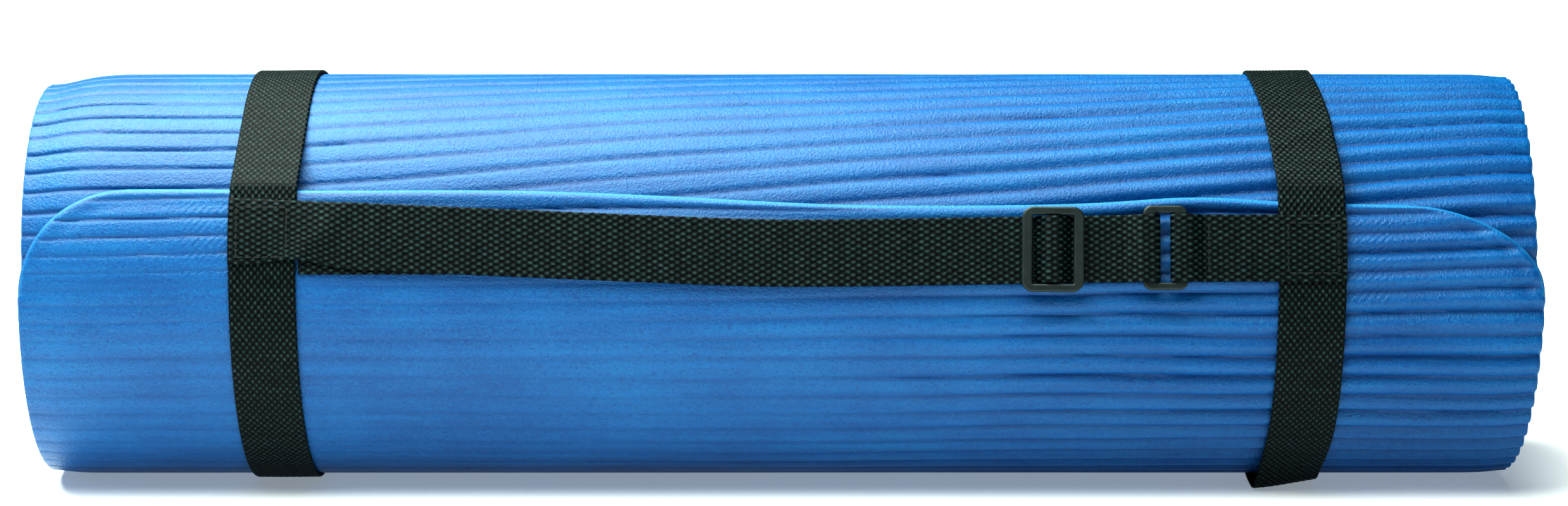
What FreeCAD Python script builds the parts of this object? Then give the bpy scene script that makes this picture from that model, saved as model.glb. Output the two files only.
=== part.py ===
import FreeCAD, Part
import math
import os
import Sketcher
from FreeCAD import Placement, Rotation, Vector

# A foam sleeping mat, rolled up and held by a harness of flat webbing.
#
# The row frame: the roll lies along X. The front is -Y, where the carry strap runs, and up is +Z.
# The origin is at the middle of the base, on the surface that the roll lies on.
#
# Two local frames are used:
#   section frame  the roll's own: its axis is at y = 0, z = 0
#   front frame    the section frame turned about X, so that -Y leaves the roll where the carry
#                  strap lies. A height above the foam there is y = -(outer_radius + height).
# Angles in the section are measured from the front (-Y), upwards.

# Driving dimensions, in millimetres and degrees.
SIZES = {
    # the mat
    "mat_width": 610.0,
    "foam_thick": 12.0,
    "turn_gap": 0.3,
    "outer_radius": 88.35,
    "half_turns": 12,
    "flap_angle": 30.0,
    "corner_radius": 45.0,
    "rest_halfwidth": 15.0,
    # where the roll's axis lies in the row frame, behind the origin
    "axis_back": 3.6,
    # the webbing
    "web_width": 26.8,
    "web_thick": 1.3,
    "web_clear": 0.3,
    "layer_gap": 0.05,
    # the two loops round the roll
    "left_band_x": -206.0,
    "right_band_x": 212.0,
    "slack_angle": -45.0,
    "slack_radius": 9.0,
    # the carry strap, in the front frame
    "strap_angle": 13.8,
    "strap_left_rise": 6.3,
    "strap_sag_x": -3.0,
    "strap_sag_rise": -2.5,
    "tail_end_x": -191.5,
    # how the webbing bends over the fittings' bars and folds round the ring
    "hump_side": 0.6,
    "hump_foot": 0.8,
    "hump_bend": 2.0,
    "ring_ramp_top": 1.2,
    "strap_ramp_foot": 7.0,
    "tab_ramp_foot": 6.6,
    "ramp_bend": 2.5,
    "strap_ramp_bend": 3.0,
    "fold_bend": 1.5,
    # how far left of the ring the strap's two layers become the two runs of its fold
    "fold_join": 9.0,
    # the tri-glide slider
    "slider_x": 108.4,
    "slider_length": 24.6,
    "slider_height": 33.8,
    "slider_corner": 4.5,
    "slider_window": 16.4,
    "slider_bar": 3.4,
    "slider_bar_span": 30.5,
    "slider_thick": 3.5,
    "slider_bar_thick": 1.5,
    "slider_lean": 0.6,
    # the ring
    "ring_x": 153.1,
    "ring_length": 17.8,
    "ring_height": 33.7,
    "ring_corner": 3.4,
    "ring_window": 7.2,
    "ring_thick": 2.8,
    "ring_lift": 2.2,
    "ring_round": 0.9,
    # both fittings
    "slot_height": 27.5,
    "slot_corner": 0.5,
    "fitting_round": 0.8,
    # the sewing
    "stitch_length": 2.4,
    "stitch_pitch": 3.3,
    "stitch_width": 0.6,
    "stitch_rise": 0.35,
    "stitch_box": 20.0,
    "tab_seam": 17.4,
    "tab_back_end": 178.0,
}

NODES = [
    "foam_pad",
    "band_left",
    "band_right",
    "carry_strap",
    "tab_strap",
    "tri_glide",
    "strap_ring",
    "stitches_left_joint",
    "stitches_right_joint",
    "stitches_tab_seam",
]

# Small fixed distances of the construction, in millimetres.
CUT_MARGIN = 2.0
FIT_CLEAR = 0.2
STITCH_FLOAT = 0.02
LAYER_OVERLAP = 2.0
END_OVERLAP = 3.0
GROUND_WITHIN = 0.05
CENTRED_WITHIN = 0.3

# Webbing is first made this many times its width, then cut to its outline.
STRIP_SPARE = 3
# The outline is as deep as this many times the strap's greatest height.
OUTLINE_DEPTH = 4
# The corner blocks reach down this many foam thicknesses, past the turn below at their far side.
CORNER_DEPTH = 1.5


def make_sheet(doc):
    sheet = doc.addObject("Spreadsheet::Sheet", "Sizes")
    for row, (name, value) in enumerate(SIZES.items(), start=1):
        sheet.set(f"A{row}", name)
        sheet.set(f"B{row}", str(value))
        sheet.setAlias(f"B{row}", name)
    doc.recompute()
    return sheet


doc = FreeCAD.newDocument("rolled_mat")
size = make_sheet(doc)

# ---------------------------------------------------------------- worked out from the sheet

HALF_PITCH = (size.foam_thick + size.turn_gap) / 2
HALF_SLOT = size.slot_height / 2
REST_HEIGHT = math.sqrt(size.outer_radius ** 2 - size.rest_halfwidth ** 2)
AXIS = Vector(0, size.axis_back, REST_HEIGHT + size.web_clear + size.web_thick)

# Heights of the webbing's middle above the foam: against it, and on top of a first layer.
FIRST_LAYER = size.web_clear + size.web_thick / 2
SECOND_LAYER = FIRST_LAYER + size.web_thick + size.layer_gap
BOTH_LAYERS = (FIRST_LAYER + SECOND_LAYER) / 2
BOTH_THICK = 2 * size.web_thick + size.layer_gap

# The fittings' heights above the foam.
SLIDER_BASE = SECOND_LAYER + size.web_thick / 2 + FIT_CLEAR
OVER_BAR = SLIDER_BASE + size.slider_bar_thick + FIT_CLEAR + BOTH_THICK / 2
OVER_RING = size.ring_lift + size.ring_thick + FIT_CLEAR + size.web_thick / 2

# The stretch of the carry strap between its sag and the ring runs slightly uphill.
STRAP_SLOPE = -size.strap_sag_rise / (size.ring_x - size.strap_sag_x)
SLIDER_RISE = size.strap_sag_rise + STRAP_SLOPE * (size.slider_x - size.strap_sag_x)

FRONT = Placement(AXIS, Rotation(Vector(1, 0, 0), -size.strap_angle))


# ---------------------------------------------------------------- section helpers


def direction(angle):
    """Unit vector in the section, at this angle above the front."""
    a = math.radians(angle)
    return Vector(0, -math.cos(a), math.sin(a))


def arc(centre, radius, start, end):
    """Arc in the section, from one angle to another."""
    points = [centre + direction(a) * radius for a in (start, (start + end) / 2, end)]
    return Part.Arc(*points).toShape()


def joined(edges):
    """One closed face from edges that follow each other, with straight edges across the gaps."""
    loop = []
    for edge, following in zip(edges, edges[1:] + edges[:1]):
        loop.append(edge)
        end = edge.lastVertex(True).Point
        start = following.firstVertex(True).Point
        if end.distanceToPoint(start) > 1e-6:
            loop.append(Part.makeLine(end, start))
    return Part.Face(Part.Wire(loop))


# The roll's turns are half circles about two centres in turn, which makes a spiral.
CENTRES = [Vector(0, 0, 0), direction(size.flap_angle) * -HALF_PITCH]


def spiral_side(depth):
    """One side of the coiled mat, this far below its outer face, from the flap inwards."""
    edges = []
    for k in range(int(size.half_turns)):
        radius = size.outer_radius - k * HALF_PITCH - depth
        start = size.flap_angle - 180 * k
        edges.append(arc(CENTRES[k % 2], radius, start, start - 180))
    return edges


def reversed_edges(edges):
    """The same curves, run the other way."""
    back = []
    for edge in reversed(edges):
        middle = edge.valueAt((edge.FirstParameter + edge.LastParameter) / 2)
        ends = edge.Vertexes[0].Point, edge.Vertexes[-1].Point
        if edge.Curve.TypeId == "Part::GeomCircle":
            back.append(Part.Arc(ends[1], middle, ends[0]).toShape())
        else:
            back.append(Part.makeLine(ends[1], ends[0]))
    return back


def loop_side(offset, slack):
    """Closed line round the roll, this far outside its outer face.

    It follows the outermost turn, lies flat underneath, and crosses straight from the turn below
    to the flap's edge. A slack loop also leaves the front early and folds on the ground.
    """
    radius = size.outer_radius
    second = radius - HALF_PITCH
    flap_edge = direction(size.flap_angle) * radius
    bridge = math.degrees(math.acos(second / (radius + HALF_PITCH)))
    leave = size.flap_angle + bridge
    ground = -(REST_HEIGHT + offset)
    rest = math.degrees(math.asin((REST_HEIGHT + offset) / (radius + offset)))

    corner_arc = arc(flap_edge, offset, leave, size.flap_angle)
    if slack:
        fold = size.slack_radius
        # the fold's centre is as far above the ground as it is inside the straight run
        run = direction(size.slack_angle)
        fold_z = -(REST_HEIGHT - fold)
        fold_y = (run.z * fold_z - (radius - fold)) / -run.y
        front = [
            arc(CENTRES[0], radius + offset, size.flap_angle, size.slack_angle),
            arc(Vector(0, fold_y, fold_z), fold + offset, size.slack_angle, -90),
        ]
    else:
        front = [arc(CENTRES[0], radius + offset, size.flap_angle, -rest)]
    back = [
        arc(CENTRES[0], radius + offset, rest - 180, size.flap_angle - 180),
        arc(CENTRES[1], second + offset, size.flap_angle - 180, leave - 360),
    ]
    assert abs(front[-1].lastVertex(True).Point.z - ground) < GROUND_WITHIN
    return joined([corner_arc] + front + back)


# ---------------------------------------------------------------- webbing helpers


def strip_side(corners, radii, offset):
    """One side of a bent strip seen edge on: straight runs, and an arc at each inner corner."""
    edges = []
    along = [(b - a).normalize() for a, b in zip(corners, corners[1:])]
    left = [Vector(-d.y, d.x, 0) for d in along]
    here = corners[0] + left[0] * offset
    for i, radius in enumerate(radii):
        sign = 1 if along[i].cross(along[i + 1]).z > 0 else -1
        reach = radius * math.tan(along[i].getAngle(along[i + 1]) / 2)
        start = corners[i + 1] - along[i] * reach
        end = corners[i + 1] + along[i + 1] * reach
        centre = start + left[i] * (radius * sign)
        middle = centre - (left[i] + left[i + 1]).normalize() * (sign * (radius - sign * offset))
        first, last = start + left[i] * offset, end + left[i + 1] * offset
        edges.append(Part.makeLine(here, first))
        edges.append(Part.Arc(first, middle, last).toShape())
        here = last
    edges.append(Part.makeLine(here, corners[-1] + left[-1] * offset))
    return edges


def strip(name, route, radii, thick):
    """Webbing seen edge on, extruded far to both sides. route holds x and height above the foam."""
    corners = [Vector(x, -(size.outer_radius + height), 0) for x, height in route]
    one = strip_side(corners, radii, thick / 2)
    other = strip_side(corners, radii, -thick / 2)
    face = joined(one + reversed_edges(other))
    return extruded(name, face, Vector(0, 0, 1), STRIP_SPARE * size.web_width)


def extruded(name, face, along, length):
    """A face as a named section, and an extrusion of it to both sides."""
    section = doc.addObject("Part::Feature", name + "_section")
    section.Shape = face
    solid = doc.addObject("Part::Extrusion", name)
    solid.Base = section
    solid.DirMode = "Custom"
    solid.Dir = along
    solid.Solid = True
    solid.Symmetric = True
    if isinstance(length, str):
        solid.setExpression("LengthFwd", length)
    else:
        solid.LengthFwd = length
    return solid


def sewn_lines(name, lines, x, rise, height):
    """Straight rows of stitches, as separate thread solids, round a point of the front frame."""
    stitches = []
    for start, end in lines:
        span = end - start
        count = int(span.Length / size.stitch_pitch)
        for i in range(count):
            thread = Part.makeBox(
                size.stitch_length,
                size.stitch_rise,
                size.stitch_width,
                Vector(-size.stitch_length / 2, -size.stitch_rise, -size.stitch_width / 2),
            )
            turn = Rotation(Vector(1, 0, 0), span)
            place = start + span * ((i + 0.5) / count) + Vector(x, 0, rise)
            place.y = -(size.outer_radius + height)
            thread.Placement = Placement(place, turn)
            stitches.append(thread)
    group = doc.addObject("Part::Feature", name)
    group.Shape = Part.makeCompound(stitches)
    group.Placement = FRONT
    group.Label = name
    return group


def boolean(kind, name, base, tools):
    """A named cut or common of base with tools, or a fuse of them all."""
    result = doc.addObject(kind, name)
    if kind == "Part::MultiFuse":
        result.Shapes = [base] + tools
    else:
        result.Base = base
        result.Tool = tools[0]
    if hasattr(result, "Refine"):
        result.Refine = True
    return result


# ---------------------------------------------------------------- foam mat


def make_foam_pad():
    edges = spiral_side(0) + reversed_edges(spiral_side(size.foam_thick))
    roll = extruded("coiled_mat", joined(edges), Vector(1, 0, 0), "Sizes.mat_width")

    # What the rounded corners of the flap leave out, one block at the right end and its mirror.
    # Each block lies square to the middle of its corner, and reaches down to the turn below.
    half_corner = math.degrees(size.corner_radius / size.outer_radius) / 2
    turn = Rotation(Vector(1, 0, 0), half_corner - size.flap_angle)
    flap_rise = size.outer_radius * math.sin(math.radians(half_corner))
    depth = CORNER_DEPTH * size.foam_thick + CUT_MARGIN

    block = doc.addObject("Part::Box", "corner_block")
    block.setExpression("Length", f"Sizes.corner_radius + {CUT_MARGIN}")
    block.setExpression("Height", f"Sizes.corner_radius + {CUT_MARGIN}")
    block.Width = depth
    outside = -(size.outer_radius + CUT_MARGIN)
    corner = Vector(
        size.mat_width / 2 - size.corner_radius, outside, flap_rise - size.corner_radius
    )
    block.Placement.Base = corner

    round_cut = doc.addObject("Part::Cylinder", "corner_round")
    round_cut.setExpression("Radius", "Sizes.corner_radius")
    round_cut.Height = depth + 2 * CUT_MARGIN
    round_cut.Placement = Placement(
        corner - Vector(0, CUT_MARGIN, 0), Rotation(Vector(1, 0, 0), -90)
    )
    waste = boolean("Part::Cut", "corner_waste", block, [round_cut])
    waste.Placement.Rotation = turn

    under = doc.addObject("Part::Cylinder", "turn_below")
    under.setExpression("Radius", "Sizes.outer_radius - Sizes.foam_thick - Sizes.turn_gap / 2")
    under.setExpression("Height", f"Sizes.mat_width + {2 * CUT_MARGIN}")
    under.Placement = Placement(
        Vector(-size.mat_width / 2 - CUT_MARGIN, 0, 0), Rotation(Vector(0, 1, 0), 90)
    )
    right = boolean("Part::Cut", "corner_cut_right", waste, [under])
    left = doc.addObject("Part::Mirroring", "corner_cut_left")
    left.Source = right
    left.Normal = Vector(1, 0, 0)

    # The roll's own weight presses its lowest strip flat.
    rest = doc.addObject("Part::Box", "rest_cut")
    rest.setExpression("Length", f"Sizes.mat_width + {2 * CUT_MARGIN}")
    rest.Width = 4 * size.rest_halfwidth
    rest.Height = 2 * CUT_MARGIN
    rest.Placement.Base = Vector(
        -size.mat_width / 2 - CUT_MARGIN,
        -2 * size.rest_halfwidth,
        -REST_HEIGHT - rest.Height.Value,
    )
    cuts = boolean("Part::MultiFuse", "pad_cuts", right, [left, rest])
    pad = boolean("Part::Cut", "foam_pad", roll, [cuts])
    pad.Placement.Base = AXIS
    return pad


# ---------------------------------------------------------------- loops round the roll


def make_band(name, slack, place):
    outer = loop_side(size.web_clear + size.web_thick, slack)
    inner = loop_side(size.web_clear, slack)
    ring = Part.Face([outer.OuterWire, inner.OuterWire])
    ring.validate()
    band = extruded(name, ring, Vector(1, 0, 0), "Sizes.web_width")
    band.Label = name
    band.Placement.Base = AXIS
    band.setExpression("Placement.Base.x", place)
    return band


# ---------------------------------------------------------------- straps along the front


def strap_outline():
    """The carry strap seen from the front: down to its sag, then slightly up to the ring."""
    half = size.web_width / 2
    left_end = size.left_band_x - half - CUT_MARGIN
    left_slope = (size.strap_sag_rise - size.strap_left_rise) / (size.strap_sag_x - left_end)
    right_end = size.ring_x + size.ring_length
    middle = [
        Vector(left_end, 0, size.strap_sag_rise - left_slope * (size.strap_sag_x - left_end)),
        Vector(size.strap_sag_x, 0, size.strap_sag_rise),
        Vector(right_end, 0, size.strap_sag_rise + STRAP_SLOPE * (right_end - size.strap_sag_x)),
    ]
    above = [p + Vector(0, 0, half) for p in middle]
    below = [p - Vector(0, 0, half) for p in reversed(middle)]
    outline = Part.makePolygon(above + below + above[:1])
    outline.translate(Vector(0, -size.outer_radius, 0))
    return Part.Face(outline)


def make_carry_strap():
    left_edge = size.left_band_x - size.web_width / 2
    half_window = size.slider_window / 2
    window_edge = size.ring_x - size.ring_window / 2 + FIT_CLEAR + size.web_thick / 2
    ring_edge = size.ring_x - size.ring_length / 2
    join = ring_edge - size.fold_join

    # over the left band as one layer, up to where the tail lies behind it
    end_layer = strip(
        "strap_end",
        [(left_edge, SECOND_LAYER), (size.tail_end_x + END_OVERLAP, SECOND_LAYER)],
        [],
        size.web_thick,
    )
    # strap and tail together, over the slider's middle bar
    bar = size.slider_bar / 2 + size.hump_side
    foot = half_window - size.hump_foot
    both = strip(
        "strap_and_tail",
        [
            (size.tail_end_x, BOTH_LAYERS),
            (size.slider_x - foot, BOTH_LAYERS),
            (size.slider_x - bar, OVER_BAR),
            (size.slider_x + bar, OVER_BAR),
            (size.slider_x + foot, BOTH_LAYERS),
            (join, BOTH_LAYERS),
        ],
        [size.hump_bend] * 4,
        BOTH_THICK,
    )
    # over the ring's left bar, round it and back behind it
    turn = strip(
        "strap_turn",
        [
            (join - LAYER_OVERLAP, SECOND_LAYER),
            (ring_edge - size.strap_ramp_foot, SECOND_LAYER),
            (ring_edge - size.ring_ramp_top, OVER_RING),
            (window_edge, OVER_RING),
            (window_edge, FIRST_LAYER),
            (join - LAYER_OVERLAP, FIRST_LAYER),
        ],
        [size.strap_ramp_bend, size.ramp_bend, size.fold_bend, size.fold_bend],
        size.web_thick,
    )
    layers = boolean("Part::MultiFuse", "strap_layers", end_layer, [both, turn])
    depth = OUTLINE_DEPTH * OVER_RING
    outline = extruded("strap_outline", strap_outline(), Vector(0, 1, 0), depth)
    strap = boolean("Part::Common", "carry_strap", layers, [outline])
    strap.Placement = FRONT
    return strap


def make_tab_strap():
    """The short strap that holds the ring: sewn to the right band, folded round the ring's bar."""
    right_edge = size.right_band_x + size.web_width / 2
    window_edge = size.ring_x + size.ring_window / 2 - FIT_CLEAR - size.web_thick / 2
    ring_edge = size.ring_x + size.ring_length / 2
    fold = strip(
        "tab_fold",
        [
            (right_edge, SECOND_LAYER),
            (ring_edge + size.tab_ramp_foot, SECOND_LAYER),
            (ring_edge + size.ring_ramp_top, OVER_RING),
            (window_edge, OVER_RING),
            (window_edge, FIRST_LAYER),
            (size.tab_back_end, FIRST_LAYER),
        ],
        [size.ramp_bend, size.ramp_bend, size.fold_bend, size.fold_bend],
        size.web_thick,
    )
    width = doc.addObject("Part::Box", "tab_width")
    width.setExpression("Height", "Sizes.web_width")
    width.Length = size.ring_length + right_edge - size.ring_x
    width.Width = OUTLINE_DEPTH * OVER_RING
    width.Placement.Base = Vector(
        size.ring_x - size.ring_length / 2,
        -size.outer_radius - OUTLINE_DEPTH * OVER_RING / 2,
        -size.web_width / 2,
    )
    tab = boolean("Part::Common", "tab_strap", fold, [width])
    tab.Placement = FRONT
    return tab


# ---------------------------------------------------------------- slider and ring


def plane(body, role):
    """One of a body's own origin planes."""
    return next(f for f in body.Origin.OriginFeatures if f.Role == role)


def rectangle_sketch(body, name, rectangles, lift):
    """Upright sketch of rounded rectangles about the body's origin, lifted out of the foam.

    Each rectangle is the sheet's names for its length and height, and its corner radius or None.
    """
    sketch = body.newObject("Sketcher::SketchObject", name)
    sketch.AttachmentSupport = [(plane(body, "XZ_Plane"), "")]
    sketch.MapMode = "FlatFace"
    sketch.AttachmentOffset = Placement(Vector(0, 0, lift), Rotation())
    for length, height, radius in rectangles:
        add_rectangle(sketch, length, height, radius)
    return sketch


def add_rectangle(sketch, length, height, radius):
    first = sketch.GeometryCount
    half_l, half_h = getattr(size, length) / 2, getattr(size, height) / 2
    corners = [
        Vector(-half_l, -half_h, 0),
        Vector(half_l, -half_h, 0),
        Vector(half_l, half_h, 0),
        Vector(-half_l, half_h, 0),
    ]
    for a, b in zip(corners, corners[1:] + corners[:1]):
        sketch.addGeometry(Part.LineSegment(a, b), False)
    bottom, right, top, left = range(first, first + 4)
    for one, other in ((bottom, right), (right, top), (top, left), (left, bottom)):
        sketch.addConstraint(Sketcher.Constraint("Coincident", one, 2, other, 1))
    for line in (bottom, top):
        sketch.addConstraint(Sketcher.Constraint("Horizontal", line))
    for line in (right, left):
        sketch.addConstraint(Sketcher.Constraint("Vertical", line))
    sketch.addConstraint(Sketcher.Constraint("Symmetric", bottom, 1, top, 1, -1, 1))
    for line, name in ((bottom, length), (right, height)):
        span = getattr(size, name)
        index = sketch.addConstraint(Sketcher.Constraint("Distance", line, 1, line, 2, span))
        sketch.setExpression(f"Constraints[{index}]", f"Sizes.{name}")
    if radius:
        for one, other in ((bottom, right), (right, top), (top, left), (left, bottom)):
            sketch.fillet(one, other, corner_point(sketch, one), corner_point(sketch, other),
                          getattr(size, radius), True, False)


def corner_point(sketch, line):
    """A point on a line of the sketch, for its fillet."""
    geometry = sketch.Geometry[line]
    return (geometry.StartPoint + geometry.EndPoint) * 0.5


def padded_sketch(body, name, rectangles, lift, thick):
    sketch = rectangle_sketch(body, name + "_outline", rectangles, lift)
    pad = body.newObject("PartDesign::Pad", name)
    pad.Profile = sketch
    pad.setExpression("Length", thick)
    return pad


def rounded_edges(body, name, base, radius, wanted):
    """A fillet on the base feature's edges that the test picks."""
    doc.recompute()
    fillet = body.newObject("PartDesign::Fillet", name)
    edges = [f"Edge{i}" for i, edge in enumerate(base.Shape.Edges, start=1) if wanted(edge)]
    fillet.Base = (base, edges)
    fillet.setExpression("Radius", f"Sizes.{radius}")
    body.Tip = fillet


def at_height(height):
    """Test for edges that lie flat at this height above the foam."""
    return lambda edge: all(abs(v.Point.y + height) < 1e-4 for v in edge.Vertexes)


def front_place(x, rise, turn):
    """Placement of a fitting on the foam's surface in the front frame, turned about -Y."""
    local = Placement(Vector(x, -size.outer_radius, rise), Rotation(Vector(0, -1, 0), turn))
    return FRONT.multiply(local)


def make_slider():
    """Tri-glide: a frame in front of the webbing, and a thinner middle bar behind it."""
    body = doc.addObject("PartDesign::Body", "tri_glide")
    frame = padded_sketch(
        body,
        "slider_frame",
        [
            ("slider_length", "slider_height", "slider_corner"),
            ("slider_window", "slot_height", "slot_corner"),
        ],
        SLIDER_BASE,
        "Sizes.slider_thick",
    )
    top = SLIDER_BASE + size.slider_thick
    rounded_edges(body, "slider_round", frame, "fitting_round", at_height(top))
    bar = padded_sketch(
        body,
        "slider_bar_pad",
        [("slider_bar", "slider_bar_span", None)],
        SLIDER_BASE,
        "Sizes.slider_bar_thick",
    )
    body.Tip = bar
    body.Placement = front_place(size.slider_x, SLIDER_RISE, -size.slider_lean)
    return body


def make_ring():
    """Rectangular ring, with rounded bars."""
    body = doc.addObject("PartDesign::Body", "strap_ring")
    frame = padded_sketch(
        body,
        "ring_frame",
        [
            ("ring_length", "ring_height", "ring_corner"),
            ("ring_window", "slot_height", "slot_corner"),
        ],
        size.ring_lift,
        "Sizes.ring_thick",
    )
    faces = [at_height(size.ring_lift), at_height(size.ring_lift + size.ring_thick)]
    rounded_edges(body, "ring_round_edges", frame, "ring_round", lambda e: any(f(e) for f in faces))
    body.Placement = front_place(size.ring_x, 0, 0)
    return body


# ---------------------------------------------------------------- sewing


def box_lines():
    """The sides of a square of stitches, each run to the right or upwards."""
    half = size.stitch_box / 2
    level = [(Vector(-half, 0, z), Vector(half, 0, z)) for z in (-half, half)]
    upright = [(Vector(x, 0, -half), Vector(x, 0, half)) for x in (-half, half)]
    return level + upright


def make_stitches():
    on_top = SECOND_LAYER + size.web_thick / 2 + STITCH_FLOAT
    sewn_lines("stitches_left_joint", box_lines(), size.left_band_x, size.strap_left_rise, on_top)
    sewn_lines("stitches_right_joint", box_lines(), size.right_band_x, 0, on_top)
    half = size.stitch_box / 2
    seam = [(Vector(0, 0, -half), Vector(0, 0, half))]
    sewn_lines("stitches_tab_seam", seam, size.ring_x + size.tab_seam, 0, on_top)


# ---------------------------------------------------------------- the whole


def check_and_write():
    doc.recompute()
    for item in doc.Objects:
        bad = {"Invalid", "Error"} & set(item.State)
        assert not bad, f"{item.Name} is {item.State}"
    os.makedirs("parts", exist_ok=True)
    whole = FreeCAD.BoundBox()
    for name in NODES:
        item = doc.getObject(name)
        item.Label = name
        shape = item.Shape
        assert not shape.isNull() and shape.isValid(), f"{name} has no valid shape"
        whole.add(shape.BoundBox)
        shape.exportStep(f"parts/{name}.step")
        print(f"{name:24s} {len(shape.Solids):3d} solids {shape.Volume / 1000:10.2f} cm3")
    print("whole", whole)
    assert abs(whole.Center.x) < CENTRED_WITHIN and abs(whole.Center.y) < CENTRED_WITHIN
    assert abs(whole.ZMin) < CENTRED_WITHIN


make_foam_pad()
make_band("band_left", False, "Sizes.left_band_x")
make_band("band_right", True, "Sizes.right_band_x")
make_carry_strap()
make_tab_strap()
make_slider()
make_ring()
make_stitches()
check_and_write()
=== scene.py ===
import bmesh
import bpy
import math
import numpy as np
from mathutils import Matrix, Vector


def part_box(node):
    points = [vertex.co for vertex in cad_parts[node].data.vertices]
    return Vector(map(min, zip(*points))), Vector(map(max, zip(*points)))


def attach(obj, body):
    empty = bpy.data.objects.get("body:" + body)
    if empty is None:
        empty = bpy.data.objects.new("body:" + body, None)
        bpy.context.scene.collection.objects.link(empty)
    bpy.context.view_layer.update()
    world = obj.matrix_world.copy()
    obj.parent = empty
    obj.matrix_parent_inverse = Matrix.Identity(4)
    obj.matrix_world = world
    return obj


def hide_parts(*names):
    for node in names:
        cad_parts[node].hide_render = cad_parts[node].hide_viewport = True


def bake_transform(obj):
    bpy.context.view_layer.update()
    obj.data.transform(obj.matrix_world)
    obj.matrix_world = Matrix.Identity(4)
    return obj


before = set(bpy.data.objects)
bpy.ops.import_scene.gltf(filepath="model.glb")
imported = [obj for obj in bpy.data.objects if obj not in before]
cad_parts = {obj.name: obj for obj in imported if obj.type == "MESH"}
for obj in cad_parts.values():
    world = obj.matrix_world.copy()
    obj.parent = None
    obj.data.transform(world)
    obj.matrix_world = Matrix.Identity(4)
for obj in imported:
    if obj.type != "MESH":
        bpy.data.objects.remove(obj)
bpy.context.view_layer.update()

# A rolled foam mat in its webbing harness. Lengths are in millimetres until a mesh is made.
MM = 0.001

# ---------------------------------------------------------------- sizes shared with the CAD part

OUTER_RADIUS = 88.35
FOAM_THICK = 12.0
HALF_PITCH = 6.15
HALF_TURNS = 12
FLAP_ANGLE = 30.0
CORNER_RADIUS = 45.0
REST_HALFWIDTH = 15.0
REST_HEIGHT = math.sqrt(OUTER_RADIUS ** 2 - REST_HALFWIDTH ** 2)

WEB_THICK = 1.3
BAND_HEIGHT = 0.95
SLACK_ANGLE = -45.0
SLACK_RADIUS = 9.0

STRAP_ANGLE = 13.8
FIRST_LAYER = 0.95
SECOND_LAYER = 2.3
OVER_BAR = 5.45
OVER_RING = 5.85
WEB_HALF = 13.4


def node_box(node):
    """Lowest and highest corner of a CAD node, in millimetres."""
    low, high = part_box(node)
    return np.array(low) / MM, np.array(high) / MM


def middle_x(node):
    low, high = node_box(node)
    return (low[0] + high[0]) / 2


PAD_LOW, PAD_HIGH = node_box("foam_pad")
HALF_LENGTH = (PAD_HIGH[0] - PAD_LOW[0]) / 2
AXIS_Y = PAD_LOW[1] + OUTER_RADIUS
AXIS_Z = PAD_LOW[2] + REST_HEIGHT
LEFT_X = middle_x("band_left")
RIGHT_X = middle_x("band_right")
SLIDER_X = middle_x("tri_glide")
RING_X = middle_x("strap_ring")
RING_HALF = 8.9
RING_WINDOW_HALF = 3.6
BAR_CLEAR = 0.2

# The carry strap's middle line on the front: down to a sag, then slightly up to the ring.
SAG_X, SAG_RISE = -3.0, -2.5
SAG_ROUNDING = 0.3
STRAP_LEFT_X, STRAP_LEFT_RISE = LEFT_X - WEB_HALF, 6.3
TAIL_END_X = -191.5
TAIL_HIGHEST = 2.9
TAB_BACK_END = 178.0

# Where the long straight run of the carry strap ends and its fold round the ring begins.
BEND_X = 132.0

# The ramps that carry webbing up over a bar: their feet and tops, counted from the fitting's
# edge or middle, and the radii of the bends.
STRAP_RAMP_FOOT = 7.0
TAB_RAMP_FOOT = 6.6
RING_RAMP_TOP = 1.2
FOLD_BEND = 1.6
RAMP_BEND = 2.5
STRAP_RAMP_BEND = 3.0
HUMP_END = 11.0
HUMP_FOOT = 7.2
HUMP_SIDE = 1.9
HUMP_LOW = 1.7
HUMP_BEND = 1.8

# ---------------------------------------------------------------- camera

CAMERA_ELEVATION = 10.0
CAMERA_DISTANCE = 1530.0
CAMERA_X = 1.7
AIM_ABOVE_AXIS = 4.3
FOCAL_LENGTH = 83.2


def make_camera():
    """The photograph's view: square on to the roll, from a little above."""
    tilt = math.radians(CAMERA_ELEVATION)
    away = Vector((0, -math.cos(tilt), math.sin(tilt)))
    upward = Vector((0, math.sin(tilt), math.cos(tilt)))
    axis = Vector((CAMERA_X, AXIS_Y, AXIS_Z))
    camera = bpy.data.objects.new("camera", bpy.data.cameras.new("camera"))
    camera.data.lens = FOCAL_LENGTH
    camera.location = (axis + away * CAMERA_DISTANCE) * MM
    aim = (axis + upward * AIM_ABOVE_AXIS) * MM
    camera.rotation_euler = (aim - camera.location).to_track_quat("-Z", "Y").to_euler()
    bpy.context.scene.collection.objects.link(camera)
    bpy.context.scene.camera = camera


# ---------------------------------------------------------------- node materials


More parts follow.
